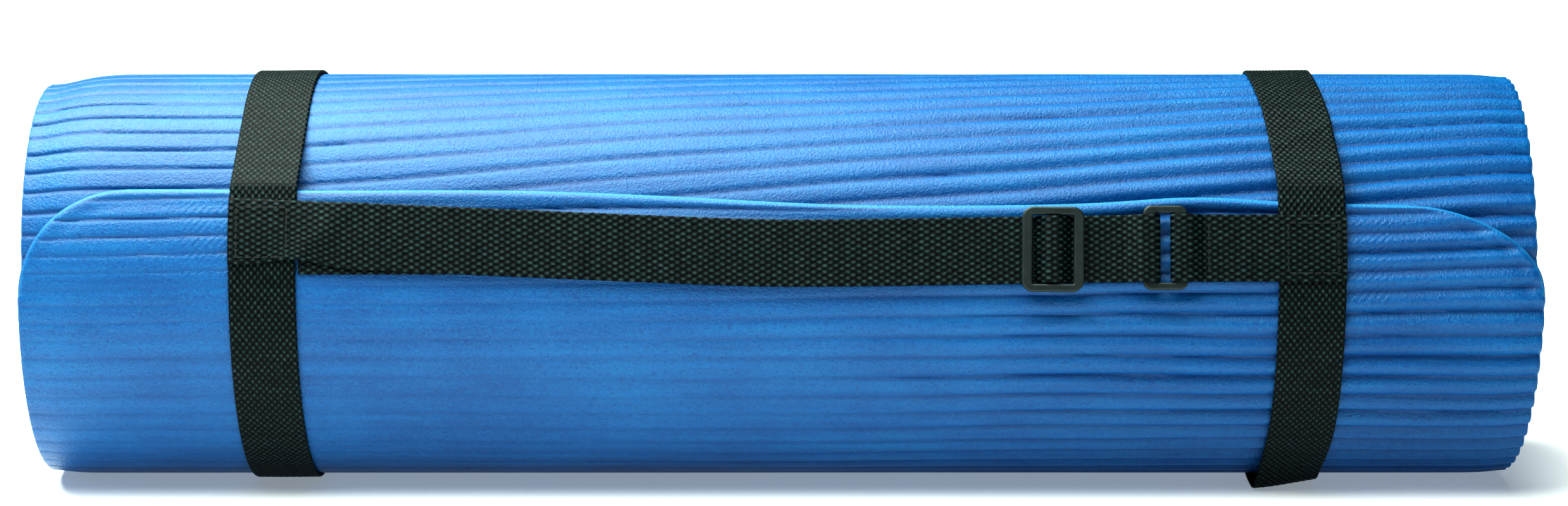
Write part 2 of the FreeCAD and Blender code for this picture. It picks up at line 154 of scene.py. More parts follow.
class Nodes:
    """A small helper that builds a node tree."""

    def __init__(self, name):
        self.material = bpy.data.materials.new(name)
        self.material.use_nodes = True
        self.tree = self.material.node_tree
        self.shader = self.tree.nodes["Principled BSDF"]

    def add(self, kind, **settings):
        node = self.tree.nodes.new(kind)
        for name, value in settings.items():
            setattr(node, name, value)
        return node

    def link(self, source, target):
        self.tree.links.new(source, target)

    def math(self, operation, a, b=0.0):
        node = self.add("ShaderNodeMath", operation=operation)
        for socket, value in zip(node.inputs, (a, b)):
            if isinstance(value, (int, float)):
                socket.default_value = value
            else:
                self.link(value, socket)
        return node.outputs[0]

    def noise(self, vector, scale, detail=2.0, roughness=0.5):
        node = self.add("ShaderNodeTexNoise")
        node.inputs["Scale"].default_value = scale
        node.inputs["Detail"].default_value = detail
        node.inputs["Roughness"].default_value = roughness
        self.link(vector, node.inputs["Vector"])
        return node.outputs["Fac"]

    def scaled(self, vector, scale):
        node = self.add("ShaderNodeVectorMath", operation="MULTIPLY")
        self.link(vector, node.inputs[0])
        node.inputs[1].default_value = scale
        return node.outputs[0]

    def separate(self, vector):
        node = self.add("ShaderNodeSeparateXYZ")
        self.link(vector, node.inputs[0])
        return node.outputs[0], node.outputs[1]

    def near(self, value, centre, reach, firm=0.0):
        """1 where value is at centre, 0 beyond reach from it. firm keeps it at 1 for that share."""
        node = self.add("ShaderNodeMapRange", interpolation_type="SMOOTHSTEP")
        away = self.math("ABSOLUTE", self.math("SUBTRACT", value, centre))
        self.link(away, node.inputs["Value"])
        node.inputs["From Min"].default_value = reach * firm
        node.inputs["From Max"].default_value = reach
        node.inputs["To Min"].default_value = 1.0
        node.inputs["To Max"].default_value = 0.0
        return node.outputs["Result"]

    def ramp(self, value, stops):
        node = self.add("ShaderNodeValToRGB")
        elements = node.color_ramp.elements
        while len(elements) < len(stops):
            elements.new(0.5)
        for element, (place, colour) in zip(elements, stops):
            element.position = place
            element.color = (*colour, 1.0)
        self.link(value, node.inputs["Fac"])
        return node.outputs["Color"]

    def mix(self, factor, one, other, blend="MIX"):
        node = self.add("ShaderNodeMix", data_type="RGBA", blend_type=blend)
        for index, value in ((0, factor), (6, one), (7, other)):
            socket = node.inputs[index]
            if isinstance(value, tuple):
                socket.default_value = (*value, 1.0)
            elif isinstance(value, (int, float)):
                socket.default_value = value
            else:
                self.link(value, socket)
        return node.outputs[2]

    def bump(self, height, strength, distance, normal=None):
        node = self.add("ShaderNodeBump")
        node.inputs["Strength"].default_value = strength
        node.inputs["Distance"].default_value = distance
        self.link(height, node.inputs["Height"])
        if normal is not None:
            self.link(normal, node.inputs["Normal"])
        return node.outputs["Normal"]

    def set(self, **values):
        for name, value in values.items():
            socket = self.shader.inputs[name.replace("_", " ")]
            if isinstance(value, (int, float, tuple)):
                socket.default_value = value
            else:
                self.link(value, socket)


FOAM_DEEP = (0.0004, 0.046, 0.163)
FOAM_BLUE = (0.0005, 0.065, 0.204)
FOAM_PALE = (0.0011, 0.090, 0.246)
FOAM_RUBBED = (0.008, 0.145, 0.285)
# painted shade for the skin's pits and rib grooves
FOAM_RECESS_SHADE = (0.0005, 0.028, 0.120)
# painted highlight along the flap's rounded edge
FOAM_EDGE_HIGHLIGHT = (0.014, 0.170, 0.340)
FULL, NONE = (1.0, 1.0, 1.0), (0.0, 0.0, 0.0)

# The webbing's print in the skin outside each loop: its middle and half its length along the
# roll, its middle and half its width down from the flap's edge, and its weave's two pitches.
PRINT_LEFT, PRINT_LEFT_REACH = LEFT_X - 23.0, 10.5
PRINT_RIGHT, PRINT_RIGHT_REACH = RIGHT_X + 23.0, 10.0
PRINT_DOWN, PRINT_DOWN_REACH = 28.0, 24.0
PRINT_PITCH_ALONG, PRINT_PITCH_DOWN = 3.1, 3.4
PRINT_FIRM = 0.8
CREASE_X, CREASE_REACH = LEFT_X - 33.0, 0.9
CREASE_DOWN, CREASE_DOWN_REACH = 12.0, 13.0
# Width of the painted highlight along the flap's edge.
EDGE_HIGHLIGHT_WIDTH = 2.2


def foam_skin():
    """Moulded closed-cell skin.

    The UV map "weave" holds millimetres along the roll and along the mat, "ribs" holds how fully
    the ribs stand and their count, and "edge" the distance from the flap's edge. Outside the
    loops the webbing has left its print in the skin. Shade is painted into the skin's pits and
    its rib grooves, and a highlight along the flap's edge.
    """
    n = Nodes("foam_skin")
    place = n.add("ShaderNodeTexCoord").outputs["Object"]
    lay = n.separate(n.add("ShaderNodeUVMap", uv_map="weave").outputs["UV"])
    ribs = n.separate(n.add("ShaderNodeUVMap", uv_map="ribs").outputs["UV"])
    edge = n.separate(n.add("ShaderNodeUVMap", uv_map="edge").outputs["UV"])
    valley = n.near(n.math("PINGPONG", ribs[1], 0.5), 0.0, 0.20)
    # mask of the painted highlight along the flap's edge
    rim = n.near(edge[0], 0.0, EDGE_HIGHLIGHT_WIDTH, 0.3)

    cells = n.noise(place, 1150.0, 3.0, 0.62)
    pits = n.noise(n.scaled(place, (620.0, 900.0, 900.0)), 1.0, 3.0, 0.65)
    blotches = n.noise(place, 22.0, 3.0)
    streaks = n.noise(n.scaled(place, (11.0, 210.0, 210.0)), 1.0, 4.0, 0.6)
    tone = n.math("ADD", n.math("MULTIPLY", blotches, 0.4), n.math("MULTIPLY", streaks, 0.6))
    colour = n.ramp(tone, [(0.32, FOAM_DEEP), (0.5, FOAM_BLUE), (0.70, FOAM_PALE)])
    rubbed = n.ramp(cells, [(0.48, NONE), (0.72, FULL)])
    colour = n.mix(n.math("MULTIPLY", rubbed, 0.4), colour, FOAM_RUBBED)
    # the pits are painted darker, as shade in them
    pit_shade = n.ramp(pits, [(0.36, FULL), (0.46, NONE)])
    colour = n.mix(n.math("MULTIPLY", pit_shade, 0.45), colour, FOAM_RECESS_SHADE)
    # painted shade in the rib grooves, deepest where the ribs stand fully
    groove_shade = n.math("MULTIPLY", n.math("MULTIPLY", valley, ribs[0]), n.math("ADD", pits, 0.25))
    colour = n.mix(n.math("MULTIPLY", groove_shade, 0.8), colour, FOAM_RECESS_SHADE)
    # painted highlight along the flap's edge
    colour = n.mix(n.math("MULTIPLY", rim, 0.6), colour, FOAM_EDGE_HIGHLIGHT)
    n.set(Base_Color=colour, Roughness=0.39, Specular_IOR_Level=0.27)

    diagonal = n.math("ADD", n.math("MULTIPLY", lay[0], 2 * math.pi / PRINT_PITCH_ALONG),
                      n.math("MULTIPLY", lay[1], 2 * math.pi / PRINT_PITCH_DOWN))
    beside = n.math("MAXIMUM", n.near(lay[0], PRINT_LEFT, PRINT_LEFT_REACH, PRINT_FIRM),
                    n.near(lay[0], PRINT_RIGHT, PRINT_RIGHT_REACH, PRINT_FIRM))
    print_area = n.math("MULTIPLY", beside,
                        n.near(lay[1], PRINT_DOWN, PRINT_DOWN_REACH, PRINT_FIRM))
    hatch = n.math("MULTIPLY", n.math("SINE", diagonal), print_area)
    crease = n.math("MULTIPLY", n.near(lay[0], CREASE_X, CREASE_REACH),
                    n.near(lay[1], CREASE_DOWN, CREASE_DOWN_REACH, PRINT_FIRM))
    hatch = n.math("SUBTRACT", hatch, n.math("MULTIPLY", crease, 2.0))
    normal = n.bump(cells, 0.6, 0.0006)
    normal = n.bump(pits, 0.4, 0.0005, normal)
    normal = n.bump(hatch, 0.28, 0.0002, normal)
    n.set(Normal=n.bump(streaks, 0.25, 0.0006, normal))
    return n.material


def foam_cut():
    """Sawn edge of the foam: paler, matt and full of tiny open cells, painted darker as shade."""
    n = Nodes("foam_cut")
    place = n.add("ShaderNodeTexCoord").outputs["Object"]
    cells = n.add("ShaderNodeTexVoronoi")
    cells.inputs["Scale"].default_value = 1100.0
    n.link(place, cells.inputs["Vector"])
    tone = n.noise(place, 60.0, 3.0)
    colour = n.ramp(tone, [(0.3, FOAM_BLUE), (0.7, FOAM_PALE)])
    # painted shade in the open cells, darkest at each cell's middle
    dark = n.ramp(cells.outputs["Distance"], [(0.0, (0.45, 0.45, 0.45)), (0.45, FULL)])
    n.set(Base_Color=n.mix(0.7, colour, dark, "MULTIPLY"), Roughness=0.75)
    n.set(Normal=n.bump(cells.outputs["Distance"], 0.6, 0.0004))
    return n.material


# A cell of the weave, along and across, in millimetres.
BAND_WEAVE = (3.4, 2.7)
STRAP_WEAVE = (4.5, 2.57)

# The webbings' colours between the grains and on them, which paint the raised grains lighter and
# the hollows darker as light and shade; then the painted shade in the gaps and the painted
# highlight on the grains' tops.
BAND_DARK, BAND_LIGHT = (0.0006, 0.0026, 0.0034), (0.0036, 0.0100, 0.0120)
STRAP_DARK, STRAP_LIGHT = (0.0004, 0.0020, 0.0028), (0.0045, 0.0120, 0.0142)
WEB_GAP_SHADE = (0.0003, 0.0009, 0.0009)
WEB_GRAIN_HIGHLIGHT = (0.029, 0.053, 0.056)


def webbing(name, dark, light):
    """Woven webbing.

    The UV map "weave" counts the weave's cells along and across. A grain stands out at the
    middle and at the corners of every cell, and no two grains are quite alike. The colour is
    painted lighter on the raised grains and darker in the gaps, as light and shade fall on them.
    """
    n = Nodes(name)
    lay = n.add("ShaderNodeUVMap", uv_map="weave").outputs["UV"]
    cells = n.separate(lay)
    turns = [n.math("COSINE", n.math("MULTIPLY", cell, 2 * math.pi)) for cell in cells]
    grain = n.math("MULTIPLY", *turns)
    lift = n.math("ADD", n.math("MULTIPLY", grain, 0.5), 0.5)
    strands = n.noise(n.scaled(lay, (5.0, 30.0, 1.0)), 1.0, 2.0)
    bars = n.noise(n.scaled(lay, (0.9, 0.08, 1.0)), 1.0, 3.0)
    uneven = n.noise(n.scaled(lay, (1.4, 1.9, 1.0)), 1.0, 1.0)
    level = n.math("ADD", n.math("MULTIPLY", lift, 0.66), n.math("MULTIPLY", strands, 0.2))
    level = n.math("ADD", level, n.math("MULTIPLY", bars, 0.24))
    level = n.math("ADD", level, n.math("MULTIPLY", n.math("SUBTRACT", uneven, 0.45), 0.42))
    # painted shade in the gaps, darker between the grains and lighter on them, and a painted
    # highlight on their tops; the strands, bars and uneven patches add random tone
    colour = n.ramp(level, [(0.31, WEB_GAP_SHADE), (0.47, dark), (0.69, light), (1.0, WEB_GRAIN_HIGHLIGHT)])
    n.set(Base_Color=colour, Roughness=0.5, Specular_IOR_Level=0.08)
    woven = n.bump(lift, 0.6, 0.0004)
    n.set(Normal=n.bump(strands, 0.35, 0.0002, woven))
    return n.material


PLASTIC_DARK, PLASTIC_LIGHT = (0.004, 0.009, 0.010), (0.008, 0.016, 0.0175)
PLASTIC_RUBBED = (0.018, 0.032, 0.034)
THREAD_DARK, THREAD_LIGHT = (0.001, 0.003, 0.003), (0.005, 0.010, 0.010)


def moulded_plastic():
    """Satin moulded plastic with a faint grain and rubbed edges."""
    n = Nodes("moulded_plastic")
    place = n.add("ShaderNodeTexCoord").outputs["Object"]
    grain = n.noise(place, 2400.0, 2.0)
    worn = n.noise(place, 160.0, 4.0, 0.65)
    edge = n.add("ShaderNodeNewGeometry").outputs["Pointiness"]
    rub = n.ramp(edge, [(0.5, NONE), (0.58, FULL)])
    colour = n.ramp(worn, [(0.3, PLASTIC_DARK), (0.75, PLASTIC_LIGHT)])
    n.set(Base_Color=n.mix(n.math("MULTIPLY", rub, 0.4), colour, PLASTIC_RUBBED))
    n.set(Roughness=n.math("ADD", n.math("MULTIPLY", worn, 0.2), 0.38), Specular_IOR_Level=0.32)
    n.set(Normal=n.bump(grain, 0.12, 0.0001))
    return n.material


def sewing_thread():
    """Twisted polyester thread."""
    n = Nodes("sewing_thread")
    place = n.add("ShaderNodeTexCoord").outputs["Object"]
    twist = n.noise(place, 3200.0, 2.0)
    n.set(Base_Color=n.ramp(twist, [(0.3, THREAD_DARK), (0.7, THREAD_LIGHT)]))
    n.set(Roughness=0.45, Normal=n.bump(twist, 0.4, 0.0002))
    return n.material


# The floor's glow is painted light. It grows from the first strength to the second between two
# distances behind the roll, in metres. In the other directions it starts this much further away.
GLOW_NEAR, GLOW_FAR = 0.35, 1.6
GLOW_WEAK, GLOW_STRONG = 0.27, 1.0
GLOW_DELAY = 0.45
FLOOR_WHITE = (0.78, 0.785, 0.79, 1.0)
FLOOR_GLOW = (0.80, 0.90, 1.0, 1.0)


def floor_material():
    """White paper that glows as painted light: a little near the roll, and more far away from it.
    """
    n = Nodes("floor_paper")
    place = n.add("ShaderNodeTexCoord").outputs["Object"]
    glow = n.add("ShaderNodeMapRange", interpolation_type="SMOOTHSTEP")
    x, y = n.separate(place)
    outward = n.math("MAXIMUM", n.math("ABSOLUTE", x), n.math("ABSOLUTE", y))
    away = n.math("MAXIMUM", y, n.math("SUBTRACT", outward, GLOW_DELAY))
    n.link(away, glow.inputs["Value"])
    glow.inputs["From Min"].default_value = GLOW_NEAR
    glow.inputs["From Max"].default_value = GLOW_FAR
    glow.inputs["To Min"].default_value = GLOW_WEAK
    glow.inputs["To Max"].default_value = GLOW_STRONG
    n.set(Base_Color=FLOOR_WHITE, Roughness=0.9, Specular_IOR_Level=0.1)
    # painted light: the floor glows, weakest near the roll where its shadow lies
    n.set(Emission_Color=FLOOR_GLOW, Emission_Strength=glow.outputs["Result"])
    return n.material


# ---------------------------------------------------------------- mesh helpers


def make_piece(name, points, faces, materials, maps, sharp, slots=None):
    """A mesh from points in millimetres, with its faces turned outward.

    maps holds UV maps, one pair of values per point. sharp is the angle from which an edge isn't
    shaded smooth. slots holds one material index per face.
    """
    mesh = bpy.data.meshes.new(name)
    mesh.from_pydata((np.asarray(points) * MM).tolist(), [], faces)
    for material in materials:
        mesh.materials.append(material)
    if slots is not None:
        mesh.polygons.foreach_set("material_index", np.asarray(slots, np.int32))
    shell = bmesh.new()
    shell.from_mesh(mesh)
    bmesh.ops.recalc_face_normals(shell, faces=shell.faces)
    shell.to_mesh(mesh)
    shell.free()
    corner = np.empty(len(mesh.loops), np.int32)
    mesh.loops.foreach_get("vertex_index", corner)
    for layer_name, uv in maps.items():
        layer = mesh.uv_layers.new(name=layer_name)
        layer.data.foreach_set("uv", np.asarray(uv, np.float32)[corner].ravel())
    mesh.validate()
    mesh.shade_smooth()
    mesh.set_sharp_from_angle(angle=math.radians(sharp))
    piece = bpy.data.objects.new(name, mesh)
    bpy.context.scene.collection.objects.link(piece)
    return piece


def tube_faces(rows, around, closed):
    """Quads of a grid of rows, each a closed loop of points; the rows may close up as well."""
    faces = []
    for i in range(rows if closed else rows - 1):
        here, there = i * around, (i + 1) % rows * around
        for j in range(around):
            k = (j + 1) % around
            faces.append((here + j, here + k, there + k, there + j))
    if not closed:
        faces.append(tuple(reversed(range(around))))
        faces.append(tuple(range((rows - 1) * around, rows * around)))
    return faces


def section_direction(angle):
    """Unit vectors in the roll's section, from angles in degrees above the front."""
    a = np.radians(angle)
    return np.stack([-np.cos(a), np.sin(a)], axis=-1)


def smoothstep(low, high, value):
    """0 at low and beyond, 1 at high and beyond; low may be the larger of the two."""
    share = np.clip((value - low) / (high - low), 0, 1)
    return share * share * (3 - 2 * share)


def bump_at(value, centre, width):
    """A smooth hump, 1 high at its centre."""
    return np.exp(-(((value - centre) / width) ** 2))


# The coil is made of half turns about two centres in turn.
TURN_CENTRES = np.array([[0.0, 0.0], section_direction(FLAP_ANGLE) * -HALF_PITCH])

# ---------------------------------------------------------------- foam mat

# Steps in degrees of the mesh's rows: fine from the flap to FINE_END, then coarse.
FINE_STEP = 0.556
COARSE_STEP = 2.2
FINE_END = -370.0
FOAM_COLUMNS = 96
COLUMN_CROWDING = 0.75

RIB_PITCH = 9.4
FIRST_GROOVE = 4.4

# How far the ribs climb for each millimetre to the right: left of the loops, between them and
# right of them, and on the flap.
CLIMB_LEFT, CLIMB_BETWEEN, CLIMB_RIGHT = 0.012, 0.092, 0.078
CLIMB_FLAP = 0.042

# At the left a groove is a narrow cut between flat ribs. To the right the cut loses some of its
# depth and the ribs gain roundness. On the worn part of the flap this share of both is gone.
GROOVE_WIDTH = 0.17
GROOVE_DEPTH, GROOVE_LOSS = 0.85, 0.4
ROUND_DEPTH, ROUND_GAIN = 0.08, 1.75
ROUND_POWER = 1.3
RIB_WEAR = 0.72

# How far the flap's left and right corners reach along the roll.
CORNER_REACH = {-1: CORNER_RADIUS - 2.0, 1: CORNER_RADIUS + 11.0}

# The flap's edge hangs lower than in the CAD part, in degrees, and the sag fades out down the mat.
EDGE_SAG = 4.2
EDGE_SAG_LIFT = 1.5
EDGE_SAG_REACH = 48.0

# The outer face droops towards the mat's two ends, most at the top left and less on the inner
# turns. At the flap's edge it is rounded off, and a little way down it has a shallow hollow.
END_DROOP, END_DROOP_REACH = 1.1, 9.0
TOP_DROOP, TOP_DROOP_REACH = 3.2, 17.0
INNER_DROOP = 0.2
RIM_DROP, RIM_REACH = 1.9, 1.3
HOLLOW_DROP, HOLLOW_FROM_EDGE, HOLLOW_WIDTH = 0.55, 7.0, 2.6

# Points across the sawn edge: share of the thickness down from the outer face, and share of
# EDGE_INSET by which they stand back from the mat's full width.
EDGE_STEPS = [(0.05, 0.35), (0.5, 0.0), (0.93, 0.35)]
EDGE_INSET = 1.0


def foam_columns():
    """Places across the mat from -1 to 1, closer together near the two ends."""
    even = np.linspace(-1, 1, FOAM_COLUMNS)
    return np.sin(even * math.pi / 2) * COLUMN_CROWDING + even * (1 - COLUMN_CROWDING)


def rib_skew(theta, x):
    """How far the ribs climb, in millimetres of the turn, at an angle and a place along the roll.

    The turn under the flap was rolled askew, so its ribs climb to the right. They run nearly
    level on the lower part of the flap and round the back.
    """
    climb = (
        CLIMB_LEFT * np.minimum(x - LEFT_X, 0)
        + CLIMB_BETWEEN * np.clip(x - LEFT_X, 0, RIGHT_X - LEFT_X)
        + CLIMB_RIGHT * np.maximum(x - RIGHT_X, 0)
    )
    on_top = smoothstep(-90, -210, theta)
    flap = CLIMB_FLAP * (x - RIGHT_X) * smoothstep(-20, 30, theta)
    return climb * on_top + flap


def rib_phase(distance, theta, x):
    """Count of the moulded ribs from the flap's edge: a whole number at each groove."""
    wander = 0.5 * np.sin(x / 47.0 + theta / 31.0) + 0.3 * np.sin(x / 19.0 - theta / 13.0)
    return (distance - FIRST_GROOVE + rib_skew(theta, x) + wander) / RIB_PITCH


def rib_share(theta, x):
    """How fully the ribs stand: the left and middle of the flap's front are worn nearly smooth."""
    worn = smoothstep(150, -60, x) * smoothstep(22, 2, theta) * smoothstep(-190, -110, theta)
    return 1 - RIB_WEAR * worn


def rib_depth(distance, theta, x):
    """Depth of the ribs below the crowns. Towards the right they are rounder and deeper."""
    phase = rib_phase(distance, theta, x)
    number = np.round(phase)
    from_groove = np.abs(phase - number) * 2
    thin = bump_at(from_groove, 0, GROOVE_WIDTH)
    rounded = (0.5 + 0.5 * np.cos(math.pi * from_groove)) ** ROUND_POWER
    to_right = smoothstep(-60, 240, x)
    uneven = 1 + 0.2 * np.sin(number * 2.4 + x / 90.0)
    depth = thin * (GROOVE_DEPTH - GROOVE_LOSS * to_right)
    depth = depth + rounded * (ROUND_DEPTH + ROUND_GAIN * to_right)
    return depth * uneven * rib_share(theta, x)


def mat_rows():
    """Angles of the rows of the mat's mesh from the flap inwards, and which rows are fine."""
    fine = np.arange(FLAP_ANGLE, FINE_END, -FINE_STEP)
    coarse = np.arange(FINE_END, FLAP_ANGLE - 180 * HALF_TURNS, -COARSE_STEP)
    return np.concatenate([fine, coarse]), len(fine)


def on_spiral(theta, drop):
    """Section points on the coiled mat, drop below its outer face."""
    turn = np.clip(np.floor((FLAP_ANGLE - theta) / 180 - 1e-9), 0, HALF_TURNS - 1).astype(int)
    radius = OUTER_RADIUS - turn * HALF_PITCH - drop
    return TURN_CENTRES[turn % 2] + section_direction(theta) * radius[..., None]


def along_mat(theta):
    """Distance along the mat from the flap, on its outer face."""
    turn = (FLAP_ANGLE - theta) / 180
    whole = np.floor(turn)
    before = math.pi * (whole * OUTER_RADIUS - HALF_PITCH * whole * (whole - 1) / 2)
    return before + (turn - whole) * math.pi * (OUTER_RADIUS - whole * HALF_PITCH)


def half_width(theta, side):
    """How far the mat reaches to one side, -1 or 1: the turns are not quite flush."""
    turn = (FLAP_ANGLE - theta) / 360
    wander = 0.5 * np.sin(turn * 4.1 + side) + 0.5 * np.sin(turn * 9.7 + 2 * side)
    outward = 2.6 * bump_at(theta, -255, 70.0)
    depth = 0.55 * np.maximum(turn - 1.1, 0) * (1.3 + side)
    return HALF_LENGTH + wander + outward - depth


def mat_ends(theta, distance, side):
    """Where the mat's edge lies at one side, with the flap's round corner cut off."""
    inside = np.clip(1 - distance / CORNER_RADIUS, 0, 1)
    cut = CORNER_REACH[side] * (1 - np.sqrt(1 - inside ** 2))
    return side * (half_width(theta, side) - cut)


def rest_limit(points):
    """The roll's underside is pressed flat where it lies."""
    points[..., 1] = np.maximum(points[..., 1], -REST_HEIGHT)
    return points


def edge_sag(x, distance):
    """How many degrees the flap's edge hangs below its place in the CAD part, most at the right."""
    low = EDGE_SAG * smoothstep(-150, 45, x) - EDGE_SAG_LIFT * bump_at(x, 166, 30)
    low = low + 0.4 * np.sin(x / 37.0)
    return np.maximum(low, 0) * (1 - smoothstep(0, EDGE_SAG_REACH, distance))


def from_edge(theta, x, distance):
    """Distance from the flap's edge, following its round corners."""
    far = distance
    for side, reach in CORNER_REACH.items():
        over = np.maximum(side * x - (half_width(theta, side) - reach), 0) / reach
        down = np.maximum(CORNER_RADIUS - distance, 0) / CORNER_RADIUS
        round_off = (1 - np.hypot(over, down)) * (CORNER_RADIUS + reach) / 2
        far = np.where((over > 0) & (down > 0), np.minimum(far, np.maximum(round_off, 0)), far)
    return far


def outer_face(theta, x, distance):
    """Section points of the mat's outer face, with its ribs, soft ends and flap edge."""
    from_end = np.maximum(HALF_LENGTH - np.abs(x), 0)
    outer_turn = smoothstep(-390, -350, theta)
    top_left = smoothstep(-180, -270, theta) * outer_turn * (x < 0)
    droop = END_DROOP * bump_at(from_end, 0, END_DROOP_REACH)
    droop = droop + TOP_DROOP * top_left * bump_at(from_end, 0, TOP_DROOP_REACH)
    droop = droop * (INNER_DROOP + (1 - INNER_DROOP) * outer_turn)
    edge = from_edge(theta, x, distance)
    rim = RIM_DROP * bump_at(edge, 0, RIM_REACH)
    rim = rim + HOLLOW_DROP * bump_at(edge, HOLLOW_FROM_EDGE, HOLLOW_WIDTH)
    drop = rib_depth(distance, theta, x) * smoothstep(0, 5, edge) + droop + rim
    return rest_limit(on_spiral(theta - edge_sag(x, distance), drop))


def inner_face(theta, x, distance):
    """Section points of the mat's smooth inner face."""
    return on_spiral(theta - edge_sag(x, distance), np.full(x.shape, FOAM_THICK))


def between_rows(one, two):
    """Faces between two rows of points, which may be one fine row and one coarse one."""
    if len(one) != len(two):
        return [(*one, *two[::-1])]
    return list(zip(one, one[1:], two[1:], two))


# Material slots of the mat's mesh.
SKIN, SAWN = 0, 1


def make_foam_pad(skin, cut):
    """The coiled mat: its outer face, its inner face and the sawn edges between them.

    Where the faces needn't be fine, a row has only its two end points.
    """
    theta, fine = mat_rows()
    distance = along_mat(theta)
    ends = [mat_ends(theta, distance, side) for side in (-1, 1)]
    fine_places, end_places = (foam_columns() + 1) / 2, np.array([0.0, 1.0])

    points, lay, ribs, edges = [], [], [], []
    count = 0

    def add(block, x, first_row):
        """Add rows of points, the first of them at the mat's row first_row."""
        nonlocal count
        start = count
        shape = block.shape[:-1]
        places = [v[first_row:first_row + shape[0]].reshape(-1, *[1] * (len(shape) - 1))
                  for v in (theta, distance)]
        turned, along = (np.broadcast_to(v, shape).ravel() for v in places)
        flat = block.reshape(-1, 2)
        xs = np.broadcast_to(x, shape).ravel()
        points.append(np.column_stack([xs, flat[:, 0] + AXIS_Y, flat[:, 1] + AXIS_Z]))
        lay.append(np.column_stack([xs, along]))
        ribs.append(np.column_stack([rib_share(turned, xs), rib_phase(along, turned, xs)]))
        edges.append(np.column_stack([from_edge(turned, xs, along), along]))
        count += len(flat)
        return start

    def add_face(section, fine_rows):
        """Add a face of the mat. Gives back its rows of point numbers and its rows' end points."""
        rows, outlines = [], []
        spans = ((0, fine_rows, fine_places), (fine_rows, len(theta), end_places))
        for start, stop, places in spans:
            low = ends[0][start:stop, None] + EDGE_INSET
            high = ends[1][start:stop, None] - EDGE_INSET
            x = low + (high - low) * places
            turned, along = (np.broadcast_to(v[start:stop, None], x.shape)
                             for v in (theta, distance))
            grid = section(turned, x, along)
            first = add(grid, x, start)
            rows += np.arange(first, first + x.size).reshape(x.shape).tolist()
            outlines.append(grid[:, [0, -1]])
        return rows, np.concatenate(outlines)

    outer_rows, outer_ends = add_face(outer_face, fine)
    inner_rows, inner_ends = add_face(inner_face, int(np.sum(distance < EDGE_SAG_REACH)) + 1)

    # the sawn edges: a few points between the faces on each side, in lines along the mat
    edge_lines = []
    for side, sign in enumerate((-1, 1)):
        outer, inner = outer_ends[:, side], inner_ends[:, side]
        edge_lines.append([
            add(outer + (inner - outer) * share_down, ends[side] - sign * inset * EDGE_INSET, 0)
            for share_down, inset in EDGE_STEPS
        ])

    def across_edge(row, side):
        """Point numbers from the outer face to the inner one, along one side of a row."""
        between = [first + row for first in edge_lines[side]]
        return [outer_rows[row][-side], *between, inner_rows[row][-side]]

    faces, slots = [], []

    def face(indices, slot):
        faces.append(tuple(indices))
        slots.append(slot)

    for i in range(len(theta) - 1):
        for quad in between_rows(outer_rows[i], outer_rows[i + 1]):
            face(quad, SKIN)
        for quad in between_rows(inner_rows[i], inner_rows[i + 1]):
            face(quad[::-1], SKIN)
        for side in (0, 1):
            for quad in between_rows(across_edge(i, side), across_edge(i + 1, side)):
                face(quad[::-1] if side else quad, SAWN)

    # the flap's own edge is bent, so it is built of narrow faces between its two fine rows
    for quad in between_rows(outer_rows[0][::-1], inner_rows[0][::-1]):
        face(quad, SAWN)
    face(across_edge(0, 0)[::-1], SAWN)
    face(across_edge(0, 1), SAWN)

    # the mat's other end, deep in the roll, is flat
    left, right = across_edge(len(theta) - 1, 0), across_edge(len(theta) - 1, 1)
    face(right + left[::-1], SAWN)

    pad = make_piece("foam_mat", np.concatenate(points), faces, [skin, cut],
                     {"weave": np.concatenate(lay), "ribs": np.concatenate(ribs),
                      "edge": np.concatenate(edges)}, sharp=48.0, slots=slots)
    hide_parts("foam_pad")
    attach(pad, "pad")


# ---------------------------------------------------------------- webbing

ROWS_PER_CELL = 7
COLUMNS_PER_CELL = 5
WEAVE_LIFT = 0.14
SELVEDGE_WAVE = 0.14
EDGE_ROUND = 0.55
BACK_COLUMNS = 9
BACK_WEAVE, EDGE_WEAVE = 0.6, 0.3


def web_profile(step):
    """Cross-section of webbing: places across, heights off its middle, and shares of the weave."""
    flat = WEB_HALF - EDGE_ROUND
    front = np.arange(-flat, flat + 1e-6, 2 * flat / round(2 * flat / step))
    back = np.linspace(flat, -flat, BACK_COLUMNS)
    half = WEB_THICK / 2
    turn = np.radians([45, 0, -45])
    right = [(flat + EDGE_ROUND * math.cos(a), half * math.sin(a)) for a in turn]
    left = [(-x, -z) for x, z in right]
    profile = [(x, half, 1.0) for x in front] + [(x, z, EDGE_WEAVE) for x, z in right]
    profile += [(x, -half, BACK_WEAVE) for x in back] + [(x, z, EDGE_WEAVE) for x, z in left]
    return np.array(profile)


